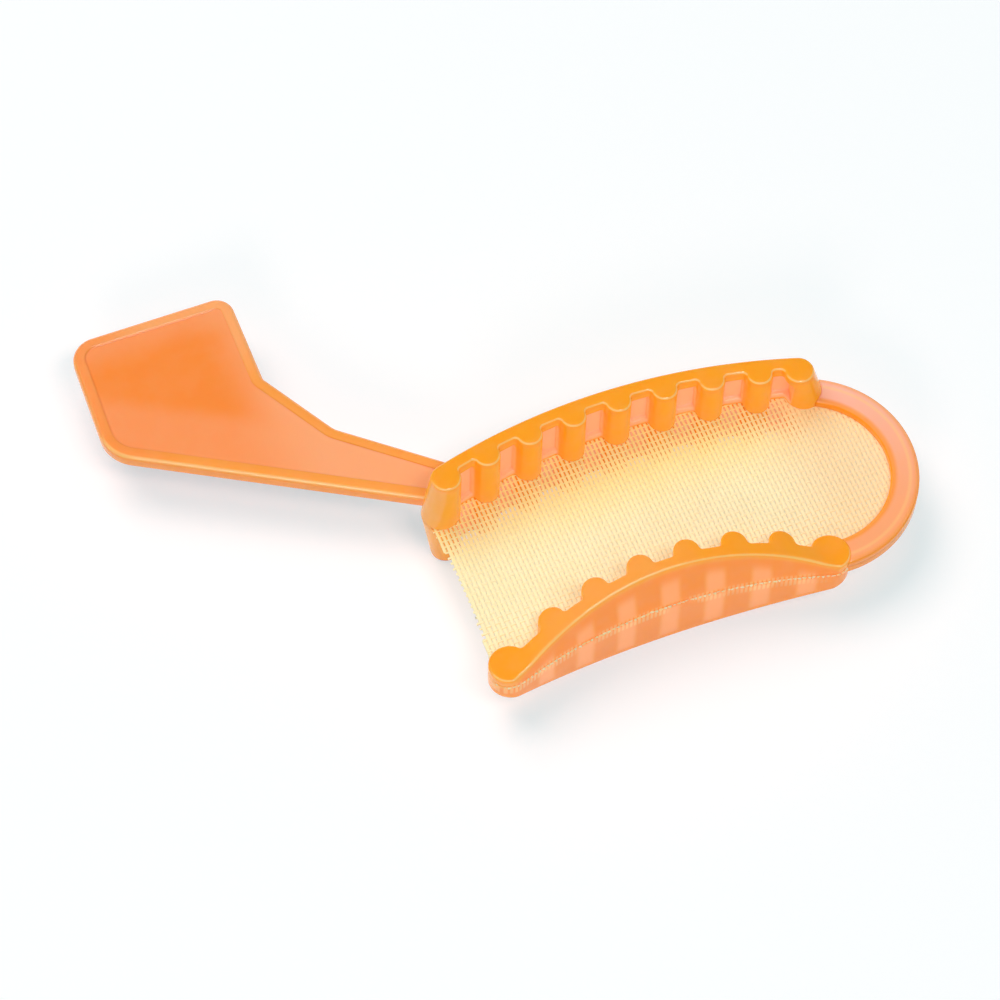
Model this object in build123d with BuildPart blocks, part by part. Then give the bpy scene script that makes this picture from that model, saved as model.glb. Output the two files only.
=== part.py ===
"""Posterior dual-arch dental impression tray: an injection-moulded frame around a bite mesh.

Frame: X runs along the arch from the handle end (-X) to the closed end (+X), Y points to the
cheek side and Z is up. The origin is under the middle rib of the cheek-side wall, on the plane
that the tray stands on. Stations are arc lengths along a wall's rib line, and depths run from
the rib line towards the wall's smooth outer face. All sizes are in millimetres.
"""
from build123d import *
import os
from dataclasses import dataclass
from math import acos, cos, degrees, radians, sin, sqrt, tan

os.makedirs("parts", exist_ok=True)

# Mesh
mesh_thickness = 0.35
mesh_cover = 0.3            # plastic left outside the mesh's cut edge
mesh_grip = 1.6             # how far the mesh runs into the closed-end bar
mesh_free_past = 1.2        # free edge at the handle end, past the first rib, at its middle
mesh_free_bow = 0.7         # how much further the free edge stands out beside the walls

# Both walls
rib_pitch = 6.0
rib_radius = 1.65
rib_blend = 0.45            # vertical fillet between a rib and the rim
foot_thickness = 3.2        # at the mesh, from the rib line to the outer face
rim_depth = 0.2             # inner face of the rim, beyond the rib line
rim_edge = 0.4              # rounding of the rims' edges
lip_height = 1.5            # solid rim above the thin panels
ledge_height = 1.0          # solid foot of the panels, where the mesh is gripped
panel_width = 2.3
panel_depth = 0.8           # inner face of the thin panels, beyond the rib line

# Cheek-side (buccal) wall; it leans in from the mesh to both rims
buccal_radius = 81.8
buccal_ribs = 9
buccal_start_past = 0.2     # rounded end at the mesh, past the first rib's station
buccal_end_radius = 2.425
buccal_rim_thickness = 1.9
buccal_rim_short = 1.1      # rounded end at the rims, short of the last rib's station
buccal_rim_end_radius = 1.85
buccal_upper_height = 8.0   # over the mesh, at the middle rib
buccal_upper_slope = 0.055  # the upper rim falls towards the closed end
buccal_lower_height = 7.9   # under the mesh; it stands on the table

# Tongue-side (lingual) wall; only its upper half leans in
lingual_radius = 66.9
lingual_ribs = 8
lingual_start_past = 1.0
lingual_end_radius = 2.45
lingual_centre_x = -2.85
lingual_distance = 21.4     # from one rib line to the other
lingual_rim_thickness = 1.7
lingual_upper_height = 6.4
lingual_upper_curve = 41.7  # radius of the upper rim's profile
lingual_upper_tip = 1.3
lingual_lower_curve = 49.0
lingual_lower_tip = 2.7
tip_blend = 9.0             # between the rims' curved profiles and their level tips

# Retromolar bar, the half ring that joins the walls behind the last tooth
bar_radius = 13.5
bar_width = 3.5
bar_thickness = 2.4
bar_setback = 4.3           # its centre, short of the cheek-side wall's last rib
bar_edge = 0.4

# Handle, a flat plate at the mesh's level that runs from the buccal wall to a finger paddle
handle_thickness = 2.3
handle_edge = 0.7
handle_border = 1.5         # raised border round the plate's faces
handle_recess = 0.15
handle_length = 35.4        # free end at the keel, past the first rib's station
paddle_back_lean = 1.7      # degrees that the free end leans away from square
paddle_side_length = 21.05
paddle_end_width = 16.85    # free end of the paddle
paddle_inner_width = 13.15  # inner end, before the neck
neck_turn = 60.0            # degrees below the paddle's side, as are the next two
shank_turn = 40.0
keel_turn = 30.0
shank_inset = 6.05          # where the shank's edges meet the wall, from the first rib
keel_past = 1.0
paddle_back_corner = 3.2
paddle_corner = 2.3
keel_corner = 5.0
inner_corner = 1.0
neck_corner = 3.0

buccal_reach = (buccal_ribs - 1) / 2 * rib_pitch
lingual_reach = (lingual_ribs - 1) / 2 * rib_pitch
bar_centre_x = buccal_reach - bar_setback
mesh_level = buccal_lower_height
upper_base = mesh_level + mesh_thickness / 2
lower_top = mesh_level - mesh_thickness / 2
bar_lift = (bar_thickness - mesh_thickness) / 2


@dataclass(frozen=True)
class Plan:
    """The outline of a wall at one level: its outer depth and its rounded ends."""

    thickness: float
    ends: tuple[float, float]
    end_radius: float


@dataclass(frozen=True)
class Wall:
    """A ribbed wall along an arc. Its outer face is away from the arc's centre if side is 1."""

    centre: tuple[float, float]
    radius: float
    side: int
    ribs: int
    foot: Plan
    rim: Plan

    @property
    def stations(self) -> list[float]:
        """The ribs' stations, from the handle end to the closed end."""
        return [(i - (self.ribs - 1) / 2) * rib_pitch for i in range(self.ribs)]

    @property
    def gaps(self) -> list[float]:
        """The stations halfway between the ribs."""
        return [station + rib_pitch / 2 for station in self.stations[:-1]]

    @property
    def axis(self) -> Axis:
        """The vertical axis through the arc's centre."""
        return Axis((*self.centre, 0), (0, 0, 1))

    def reach(self, depth: float) -> float:
        """The radius of the line at a depth."""
        return self.radius + self.side * depth

    def point(self, station: float, depth: float) -> tuple[float, float]:
        """The plan position at a station and depth."""
        turn = station / self.radius
        x = self.centre[0] + self.reach(depth) * sin(turn)
        return (x, self.centre[1] + self.reach(depth) * cos(turn))

    def plane(self, station: float) -> Plane:
        """The upright plane through the arc's centre: local x is the radius, y is up."""
        turn = station / self.radius
        direction = (sin(turn), cos(turn), 0)
        return Plane((*self.centre, 0), x_dir=direction, z_dir=(cos(turn), -sin(turn), 0))


buccal = Wall(
    (0, -buccal_radius),
    buccal_radius,
    1,
    buccal_ribs,
    Plan(foot_thickness, (-buccal_reach - buccal_start_past, buccal_reach), buccal_end_radius),
    Plan(
        buccal_rim_thickness,
        (-buccal_reach, buccal_reach - buccal_rim_short),
        buccal_rim_end_radius,
    ),
)
lingual_ends = (-lingual_reach - lingual_start_past, lingual_reach)
lingual = Wall(
    (lingual_centre_x, -lingual_distance - lingual_radius),
    lingual_radius,
    -1,
    lingual_ribs,
    Plan(foot_thickness, lingual_ends, lingual_end_radius),
    Plan(lingual_rim_thickness, lingual_ends, lingual_end_radius),
)
bar_join = sqrt(buccal.reach(buccal_rim_thickness) ** 2 - bar_centre_x**2)
bar_centre = (bar_centre_x, buccal.centre[1] + bar_join - bar_radius)


def rim_level(x: float) -> float:
    """The level of the cheek-side wall's upper rim."""
    return mesh_level + buccal_upper_height - buccal_upper_slope * x


def band(wall: Wall, plan: Plan, cover: float) -> Sketch:
    """The strip of a wall's plan between its rounded ends, less a cover at its outer face."""
    first, last = (degrees(station / wall.radius) for station in plan.ends)
    with BuildSketch() as strip:
        with BuildLine():
            far = wall.reach(plan.thickness - cover)
            face_arc = CenterArc(wall.centre, far, 90 - first, first - last)
            rib_arc = CenterArc(wall.centre, wall.reach(rim_depth), 90 - last, last - first)
            Line(face_arc @ 1, rib_arc @ 0)
            Line(rib_arc @ 1, face_arc @ 0)
        make_face()
        depth = plan.thickness - plan.end_radius
        with Locations([wall.point(station, depth) for station in plan.ends]):
            Circle(plan.end_radius - cover)
    return strip.sketch


def ribbed_plan(wall: Wall, plan: Plan) -> Sketch:
    """The outline of a wall with its ribs and the blended corners between them."""
    centre = Vector(*wall.centre)
    face = wall.reach(rim_depth)
    with BuildSketch() as outline:
        add(band(wall, plan, 0))
        with Locations([wall.point(station, 0) for station in wall.stations[1:-1]]):
            Circle(rib_radius)
        corners = outline.vertices().filter_by(
            lambda v: abs((Vector(v.X, v.Y) - centre).length - face) < 0.01
        )
        fillet(corners, rib_blend)
    return outline.sketch


def wall_block(wall: Wall, foot: Plane, rim: Plane) -> Part:
    """A wall before its panels are hollowed out, between its foot's plane and its rim's."""
    with BuildPart() as block:
        with BuildSketch(foot):
            add(ribbed_plan(wall, wall.foot))
        with BuildSketch(rim):
            add(ribbed_plan(wall, wall.rim))
        loft(ruled=True)
    return block.part


def panel_recesses(wall: Wall, foot: list[float], top: list[float]) -> Part:
    """The hollows over the thin panels between the ribs, each between a foot and a top level."""
    arc = degrees(panel_width / wall.radius)
    mouth = wall.reach(rim_depth - rib_radius)
    face = wall.reach(panel_depth)
    with BuildPart() as recesses:
        for station, low, high in zip(wall.gaps, foot, top):
            if high - low < lip_height / 2:
                continue
            with BuildSketch(wall.plane(station + panel_width / 2)):
                with BuildLine():
                    Polyline((mouth, low), (face, low), (face, high), (mouth, high), close=True)
                make_face()
            revolve(axis=wall.axis, revolution_arc=arc)
    return recesses.part


def outer_relief(wall: Wall, foot: float, rim: float) -> Part:
    """What a leaning outer face cuts away, from the foot's level to the rim's and past it."""
    rim_reach = wall.reach(wall.rim.thickness)
    clear_reach = wall.reach(2 * wall.foot.thickness)
    past = 2 * rim - foot
    with BuildPart() as relief:
        with BuildSketch(wall.plane(0)):
            with BuildLine():
                Polyline(
                    (wall.reach(wall.foot.thickness), foot),
                    (rim_reach, rim),
                    (rim_reach, past),
                    (clear_reach, past),
                    (clear_reach, foot),
                    close=True,
                )
            make_face()
        revolve(axis=wall.axis)
    return relief.part


def lens(base: float, height: float, curve: float, tip: float, up: int) -> Part:
    """The tongue-side wall's curved profile on one side of the mesh, as a block to keep.

    A crown arc runs into a flat tip height at both ends through a blend.
    """
    length = 2 * lingual_radius
    with BuildPart() as block:
        with BuildSketch(Plane.XZ.offset(lingual_distance)) as profile:
            with Locations((lingual_centre_x, base + up * (height - curve))):
                Circle(curve)
            with Locations((lingual_centre_x, base + up * height)):
                Rectangle(length, 2 * height, mode=Mode.INTERSECT)
            with Locations((lingual_centre_x, base + up * tip / 2)):
                Rectangle(length, tip)
            tip_level = base + up * tip
            junctions = profile.vertices().filter_by(
                lambda v: abs(v.Y - tip_level) < 0.01 and abs(v.X - lingual_centre_x) < curve
            )
            fillet(junctions, tip_blend)
        extrude(amount=length / 4, both=True)
    return block.part


def lens_height(x: float, height: float, curve: float) -> float:
    """The height of the curved profile over the mesh at a place along the wall."""
    return height - curve + sqrt(curve**2 - (x - lingual_centre_x) ** 2)


def rim_edges(part: Part, up: Axis) -> ShapeList:
    """The edges round the profiled rim of a wall, less those that cross it."""
    rim_faces = ShapeList(
        face for face in part.faces() if face.normal_at().dot(up.direction) > 0.5
    )
    every = [edge for face in rim_faces for edge in face.edges()]
    return ShapeList(edge for edge in every if every.count(edge) == 1)


def bar_outline() -> Sketch:
    """The half ring behind the last tooth, from one wall's end lobe to the other's."""
    middle = bar_radius - bar_width / 2
    cheek_x = buccal.point(buccal_reach, foot_thickness - buccal_end_radius)[0]
    tongue_x = lingual.point(lingual_reach, foot_thickness - lingual_end_radius)[0]
    first = -degrees(acos((tongue_x - bar_centre_x) / middle))
    last = degrees(acos((cheek_x - bar_centre_x) / middle))
    with BuildSketch() as ring:
        with BuildLine():
            outer = CenterArc(bar_centre, bar_radius, first, last - first)
            inner = CenterArc(bar_centre, bar_radius - bar_width, last, first - last)
            Line(outer @ 1, inner @ 0)
            Line(inner @ 1, outer @ 0)
        make_face()
    return ring.sketch


def corner_at(plan: BuildSketch, place: tuple[float, float]) -> Vertex:
    """The corner of a plan nearest to a place."""
    return min(plan.vertices(), key=lambda v: (v.X - place[0]) ** 2 + (v.Y - place[1]) ** 2)


with BuildPart() as bite_mesh:
    with BuildSketch(Plane.XY.offset(lower_top)):
        add(band(buccal, buccal.foot, mesh_cover))
        add(band(lingual, lingual.foot, mesh_cover))
        with Locations(bar_centre):
            Circle(bar_radius - bar_width + mesh_grip)
        with BuildLine():
            cheek_arc = ThreePointArc(
                buccal.point(buccal.stations[-1], rim_depth),
                buccal.point(0, rim_depth),
                buccal.point(buccal.stations[0], rim_depth),
            )
            tongue_arc = ThreePointArc(
                lingual.point(lingual.stations[0], rim_depth),
                lingual.point(0, rim_depth),
                lingual.point(lingual.stations[-1], rim_depth),
            )
            mesh_free_x = -buccal_reach - mesh_free_past
            free_top = (mesh_free_x - mesh_free_bow, (cheek_arc @ 1).Y - rib_radius / 2)
            free_low = (mesh_free_x - mesh_free_bow, (tongue_arc @ 0).Y)
            free_middle = (mesh_free_x, (free_top[1] + free_low[1]) / 2)
            Line(cheek_arc @ 1, free_top)
            ThreePointArc(free_top, free_middle, free_low)
            Line(free_low, tongue_arc @ 0)
            Line(tongue_arc @ 1, cheek_arc @ 0)
        make_face()
    extrude(amount=mesh_thickness)

foot_plane = Plane.XY.offset(upper_base)
rim_plane = Plane(
    (0, 0, rim_level(0)), x_dir=(1, 0, -buccal_upper_slope), z_dir=(buccal_upper_slope, 0, 1)
)
buccal_upper_block = wall_block(buccal, foot_plane, rim_plane)
buccal_lower_block = wall_block(buccal, foot_plane, Plane.XY)
with BuildPart() as lingual_upper_block:
    with BuildSketch(Plane.XY.offset(upper_base)):
        add(ribbed_plan(lingual, lingual.foot))
    extrude(amount=2 * lingual_upper_height)
    add(outer_relief(lingual, upper_base, upper_base + lingual_upper_height), mode=Mode.SUBTRACT)
with BuildPart() as lingual_lower_block:
    with BuildSketch(Plane.XY.offset(upper_base)):
        add(ribbed_plan(lingual, lingual.foot))
    extrude(amount=-2 * upper_base)

with BuildPart() as buccal_wall_upper:
    add(buccal_upper_block)
    fillet(buccal_wall_upper.faces().sort_by(Axis.Z)[-1].edges(), rim_edge)
    hollows = panel_recesses(
        buccal,
        [upper_base + ledge_height] * len(buccal.gaps),
        [rim_level(buccal.point(station, 0)[0]) - lip_height for station in buccal.gaps],
    )
    add(hollows, mode=Mode.SUBTRACT)

with BuildPart() as buccal_wall_lower:
    add(buccal_lower_block)
    fillet(buccal_wall_lower.faces().sort_by(Axis.Z)[0].edges(), rim_edge)
    hollows = panel_recesses(
        buccal,
        [lip_height] * len(buccal.gaps),
        [lower_top - ledge_height] * len(buccal.gaps),
    )
    add(hollows, mode=Mode.SUBTRACT)
    add(bite_mesh.part, mode=Mode.SUBTRACT)

with BuildPart() as lingual_wall_upper:
    add(lingual_upper_block.part)
    profile = lens(upper_base, lingual_upper_height, lingual_upper_curve, lingual_upper_tip, 1)
    add(profile, mode=Mode.INTERSECT)
    fillet(rim_edges(lingual_wall_upper.part, Axis.Z), rim_edge)
    gap_x = [lingual.point(station, 0)[0] for station in lingual.gaps]
    rise = [lens_height(x, lingual_upper_height, lingual_upper_curve) for x in gap_x]
    hollows = panel_recesses(
        lingual,
        [upper_base + ledge_height] * len(gap_x),
        [upper_base + height - lip_height for height in rise],
    )
    add(hollows, mode=Mode.SUBTRACT)

with BuildPart() as lingual_wall_lower:
    add(lingual_lower_block.part)
    profile = lens(upper_base, upper_base, lingual_lower_curve, lingual_lower_tip, -1)
    add(profile, mode=Mode.INTERSECT)
    fillet(rim_edges(lingual_wall_lower.part, -Axis.Z), rim_edge)
    drop = [lens_height(x, upper_base, lingual_lower_curve) for x in gap_x]
    hollows = panel_recesses(
        lingual,
        [upper_base - height + lip_height for height in drop],
        [lower_top - ledge_height] * len(gap_x),
    )
    add(hollows, mode=Mode.SUBTRACT)
    add(bite_mesh.part, mode=Mode.SUBTRACT)

with BuildPart() as retromolar_bar_upper:
    with BuildSketch(Plane.XY.offset(upper_base)):
        add(bar_outline())
    extrude(amount=bar_lift)
    fillet(retromolar_bar_upper.faces().sort_by(Axis.Z)[-1].edges(), bar_edge)
    add(buccal_upper_block, mode=Mode.SUBTRACT)
    add(lingual_upper_block.part, mode=Mode.SUBTRACT)

with BuildPart() as retromolar_bar_lower:
    with BuildSketch(Plane.XY.offset(lower_top - bar_lift)):
        add(bar_outline())
    extrude(amount=bar_lift + mesh_thickness)
    fillet(retromolar_bar_lower.faces().sort_by(Axis.Z)[0].edges(), bar_edge)
    add(bite_mesh.part, mode=Mode.SUBTRACT)
    add(buccal_lower_block, mode=Mode.SUBTRACT)
    add(lingual_lower_block.part, mode=Mode.SUBTRACT)

with BuildPart() as handle:
    with BuildSketch(Plane.XY.offset(mesh_level)) as handle_sketch:
        with BuildLine():
            keel_station = -buccal_reach - keel_past
            shank_station = -buccal_reach + shank_inset
            paddle_back_x = -buccal_reach - handle_length
            keel_root = buccal.point(keel_station, foot_thickness)
            shank_root = buccal.point(shank_station, foot_thickness)
            keel_rise = (keel_root[0] - paddle_back_x) * tan(radians(keel_turn))
            keel_end = (paddle_back_x, keel_root[1] + keel_rise)
            back_lean = paddle_end_width * tan(radians(paddle_back_lean))
            back_end = (paddle_back_x + back_lean, keel_end[1] + paddle_end_width)
            side_end = (back_end[0] + paddle_side_length, back_end[1])
            inner_end = (side_end[0], side_end[1] - paddle_inner_width)
            neck_slope = tan(radians(neck_turn))
            shank_slope = tan(radians(shank_turn))
            shank_rise = inner_end[1] - shank_root[1]
            shank_run = inner_end[0] - shank_root[0]
            neck_run = (shank_rise + shank_slope * shank_run) / (neck_slope - shank_slope)
            neck_end = (inner_end[0] + neck_run, inner_end[1] - neck_run * neck_slope)
            Polyline(
                keel_root,
                keel_end,
                back_end,
                side_end,
                inner_end,
                neck_end,
                shank_root,
                buccal.point(shank_station, panel_depth),
                buccal.point(keel_station, panel_depth),
                close=True,
            )
        make_face()
        for corner, radius in (
            (keel_end, keel_corner),
            (back_end, paddle_back_corner),
            (side_end, paddle_corner),
            (inner_end, inner_corner),
            (neck_end, neck_corner),
        ):
            fillet(corner_at(handle_sketch, corner), radius)
    extrude(amount=handle_thickness / 2, both=True)
    fillet(handle.faces().sort_by(Axis.Z)[-1].edges(), handle_edge)
    fillet(handle.faces().sort_by(Axis.Z)[0].edges(), handle_edge)
    for up in (1, -1):
        with BuildSketch(Plane.XY.offset(mesh_level + up * handle_thickness / 2)):
            offset(handle_sketch.sketch_local, -handle_border)
        extrude(amount=-up * handle_recess, mode=Mode.SUBTRACT)
    add(buccal_upper_block, mode=Mode.SUBTRACT)
    add(buccal_lower_block, mode=Mode.SUBTRACT)

for sub_part, name in (
    (handle, "handle"),
    (buccal_wall_upper, "buccal_wall_upper"),
    (buccal_wall_lower, "buccal_wall_lower"),
    (lingual_wall_upper, "lingual_wall_upper"),
    (lingual_wall_lower, "lingual_wall_lower"),
    (retromolar_bar_upper, "retromolar_bar_upper"),
    (retromolar_bar_lower, "retromolar_bar_lower"),
    (bite_mesh, "bite_mesh"),
):
    sub_part.part.label = name
    export_step(sub_part.part, f"parts/{name}.step")
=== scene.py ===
"""Looks of a posterior dual-arch impression tray: a translucent moulded frame and a bite mesh.

Everything is in metres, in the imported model's frame: X runs along the arch to its closed end,
Y points to the cheek side and Z is up, with the origin under the middle rib of the cheek-side
wall. The frame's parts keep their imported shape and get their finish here. The bite mesh is
woven here, thread by thread, and stands for its plain packed sheet.
"""

import logging
import math
import random
from dataclasses import dataclass, field
from enum import Enum

import bpy
from mathutils import Matrix, Vector
from mathutils.bvhtree import BVHTree


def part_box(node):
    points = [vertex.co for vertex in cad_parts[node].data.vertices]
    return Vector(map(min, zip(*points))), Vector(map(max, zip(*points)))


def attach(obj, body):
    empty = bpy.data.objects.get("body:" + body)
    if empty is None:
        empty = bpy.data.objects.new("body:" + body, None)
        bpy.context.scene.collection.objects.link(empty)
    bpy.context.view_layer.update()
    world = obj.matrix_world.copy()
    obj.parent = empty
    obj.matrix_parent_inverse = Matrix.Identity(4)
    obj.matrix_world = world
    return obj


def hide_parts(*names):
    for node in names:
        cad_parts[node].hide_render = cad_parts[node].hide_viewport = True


LOG = logging.getLogger("tray")
MM = 0.001

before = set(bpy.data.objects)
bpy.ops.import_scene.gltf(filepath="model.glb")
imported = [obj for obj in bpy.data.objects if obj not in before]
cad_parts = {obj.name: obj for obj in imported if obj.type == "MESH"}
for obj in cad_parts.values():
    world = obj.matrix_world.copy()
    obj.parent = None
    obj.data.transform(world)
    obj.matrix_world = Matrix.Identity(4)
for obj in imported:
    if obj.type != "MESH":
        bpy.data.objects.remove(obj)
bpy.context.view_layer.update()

Colour = tuple[float, float, float, float]
Span = tuple[float, float]

DISPLAY_FULL = 255
DISPLAY_KNEE, DISPLAY_SLOPE = 0.04045, 12.92
DISPLAY_OFFSET, DISPLAY_POWER = 0.055, 2.4


def display(red: float, green: float, blue: float) -> Colour:
    """Turns a colour of display values into linear RGBA for a shader.

    Args:
        red: The red value, from 0 to 255.
        green: The green value.
        blue: The blue value.

    Returns:
        The linear colour, opaque.
    """

    def channel(value: float) -> float:
        """Turns one display value into a linear one.

        Args:
            value: The display value.

        Returns:
            The linear value.
        """
        share = value / DISPLAY_FULL
        if share <= DISPLAY_KNEE:
            return share / DISPLAY_SLOPE
        return ((share + DISPLAY_OFFSET) / (1 + DISPLAY_OFFSET)) ** DISPLAY_POWER

    return (channel(red), channel(green), channel(blue), 1.0)


class Value:
    """A number in a node tree, which the usual arithmetic signs join to others."""

    def __init__(self, tree: "NodeTree", socket: bpy.types.NodeSocket) -> None:
        """Wraps an output socket of a tree."""
        self.tree = tree
        self.socket = socket

    def math(self, operation: str, *others: object) -> "Value":
        """This value and others through one Math node."""
        return self.tree.math(operation, self, *others)

    def __add__(self, other: object) -> "Value":
        """The sum."""
        return self.math("ADD", other)

    def __sub__(self, other: object) -> "Value":
        """The difference."""
        return self.math("SUBTRACT", other)

    def __rsub__(self, other: object) -> "Value":
        """The difference from a plain number."""
        return self.tree.math("SUBTRACT", other, self)

    def __mul__(self, other: object) -> "Value":
        """The product."""
        return self.math("MULTIPLY", other)

    def __truediv__(self, other: object) -> "Value":
        """The quotient."""
        return self.math("DIVIDE", other)

    def rise(self, start: float, end: float) -> "Value":
        """A smooth step along this value.

        Args:
            start: Where the step is 0.
            end: Where it is 1, which may be lower than start.

        Returns:
            The step.
        """
        inputs = {"Value": self, "From Min": min(start, end), "From Max": max(start, end)}
        if end < start:
            inputs |= {"To Min": 1.0, "To Max": 0.0}
        node = self.tree.add("ShaderNodeMapRange", inputs, interpolation_type="SMOOTHSTEP")
        return Value(self.tree, node.outputs[0])


class NodeTree:
    """A node tree, with short calls to add and join nodes."""

    def __init__(self, tree: bpy.types.NodeTree, prefix: str = "ShaderNode") -> None:
        """Starts from an empty tree.

        Args:
            tree: The tree to build in.
            prefix: What the type names of its own nodes start with.
        """
        self.tree = tree
        self.prefix = prefix
        tree.nodes.clear()

    def add(self, kind: str, inputs: dict | None = None, **settings: object) -> bpy.types.Node:
        """Adds a node.

        Args:
            kind: The node's type name, whole or without the prefix.
            inputs: Values, sockets or outputs by the input's name or number.
            settings: The node's own properties.

        Returns:
            The new node.
        """
        whole = kind.startswith(("ShaderNode", "GeometryNode", "FunctionNode", "NodeGroup"))
        node = self.tree.nodes.new(kind if whole else self.prefix + kind)
        for key, value in settings.items():
            setattr(node, key, value)
        for key, value in (inputs or {}).items():
            if isinstance(value, Value):
                value = value.socket
            if isinstance(value, bpy.types.NodeSocket):
                self.tree.links.new(value, node.inputs[key])
            else:
                node.inputs[key].default_value = value
        return node

    def math(self, operation: str, *values: object) -> Value:
        """Joins numbers through one Math node."""
        node = self.add("ShaderNodeMath", dict(enumerate(values)), operation=operation)
        return Value(self, node.outputs[0])

    def split(self, vector: bpy.types.NodeSocket) -> tuple[Value, Value, Value]:
        """The three parts of a vector."""
        node = self.add("ShaderNodeSeparateXYZ", {0: vector})
        return tuple(Value(self, output) for output in node.outputs)


class Shader(NodeTree):
    """A material and its node tree."""

    def __init__(self, name: str) -> None:
        """Starts an empty material.

        Args:
            name: The material's name.
        """
        self.material = bpy.data.materials.new(name)
        self.material.use_nodes = True
        super().__init__(self.material.node_tree)

    def place(self) -> tuple[bpy.types.NodeSocket, Value, Value, Value]:
        """Reads the position on the piece.

        Returns:
            The position as a vector in metres and as three numbers in mm.
        """
        spot = self.add("TexCoord").outputs["Object"]
        scaled = self.add("VectorMath", {0: spot, "Scale": 1 / MM}, operation="SCALE").outputs[0]
        return (spot, *self.split(scaled))

    def noise(self, spot: bpy.types.NodeSocket, size: float, detail: float = 2.0) -> Value:
        """Noise from 0 to 1, with features of about the given size in mm."""
        inputs = {"Vector": spot, "Scale": 1 / (size * MM), "Detail": detail}
        return Value(self, self.add("TexNoise", inputs).outputs[0])

    def mix(self, share: object, first: object, second: object, blend: str = "MIX") -> object:
        """Mixes two colours.

        Args:
            share: How much of the second colour, as a number or a value.
            first: The first colour, or a socket.
            second: The second colour, or a socket.
            blend: The blend type.

        Returns:
            The mixed colour's socket.
        """
        inputs = {0: share, 6: first, 7: second}
        return self.add("Mix", inputs, data_type="RGBA", blend_type=blend).outputs[2]

    def finish(self, surface: bpy.types.Node) -> bpy.types.Material:
        """Joins a surface to the output and returns the material."""
        self.add("OutputMaterial", {"Surface": surface.outputs[0]})
        return self.material


@dataclass(frozen=True)
class MouldedPlastic:
    """Translucent orange plastic: deep amber where thick, and pink painted light where thin.

    Attributes:
        deep: The colour of thick places and inner edges.
        body: The colour of most of the plastic.
        thin: The pink of thin places, where it paints light shining through, and of the pale
            clouds.
        panel: The walls' panel pink, painted light that shines through the thin panels.
        rim: The colour of the walls' tops.
        highlight_and_strand: The pale colour of painted highlights on rounded edges, and of the
            mesh's buried ends.
        roughness: How dull the gloss is.
        index: The refractive index.
        gloss: How strong the gloss is.
        clouding: How much of the light goes into the plastic.
        depth: How far it goes, in mm.
        spread: How far red, green and blue go, as shares of the depth.
        softness: How far the sharp edges look worn, in mm.
        haze: How strong the pale clouds are.
        haze_size: Their size in mm.
        grain: How strong the moulding texture is.
        grain_size: Its size in mm.
        grain_height: Its height in mm.
        inner_light: The strength of a painted glow, which lifts the plastic's shaded sides like
            light passing through it.
    """

    deep: Colour = display(246, 150, 14)
    body: Colour = display(246, 152, 42)
    thin: Colour = display(246, 168, 116)
    panel: Colour = display(240, 176, 130)
    rim: Colour = display(247, 160, 26)
    highlight_and_strand: Colour = display(253, 206, 132)
    roughness: float = 0.16
    index: float = 1.49
    gloss: float = 0.7
    clouding: float = 0.6
    depth: float = 1.2
    spread: tuple[float, float, float] = (1.0, 0.5, 0.25)
    softness: float = 0.4
    haze: float = 0.1
    haze_size: float = 2.6
    grain: float = 0.06
    grain_size: float = 0.5
    grain_height: float = 0.05
    inner_light: float = 0.17

    def surface(
        self,
        shader: Shader,
        spot: bpy.types.NodeSocket,
        colour: bpy.types.NodeSocket,
        light: Value | None = None,
    ) -> bpy.types.Material:
        """Ends a material with this plastic's gloss, depth and faint moulding texture.

        Args:
            shader: The material so far.
            spot: The position on the piece in metres.
            colour: The colour's socket.
            light: The painted glow's strength, or None for the plastic's own level.

        Returns:
            The finished material.
        """
        haze = shader.noise(spot, self.haze_size, 3.0)
        colour = shader.mix(haze.rise(0.35, 0.75) * self.haze, colour, self.thin)
        grain = shader.noise(spot, self.grain_size, 2.0)
        worn = shader.add("Bevel", {"Radius": self.softness * MM}, samples=8).outputs[0]
        bump = shader.add(
            "Bump",
            {
                "Strength": self.grain,
                "Distance": self.grain_height * MM,
                "Height": grain,
                "Normal": worn,
            },
        ).outputs[0]
        skin = shader.add(
            "BsdfPrincipled",
            {
                "Base Color": colour,
                "Roughness": self.roughness,
                "Subsurface Weight": self.clouding,
                "Subsurface Radius": self.spread,
                "Subsurface Scale": self.depth * MM,
                "IOR": self.index,
                "Specular IOR Level": self.gloss,
                # The emission is a painted glow that stands in for light passing through the
                # plastic.
                "Emission Color": colour,
                "Emission Strength": self.inner_light if light is None else light,
                "Normal": bump,
            },
        )
        return shader.finish(skin)


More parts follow.
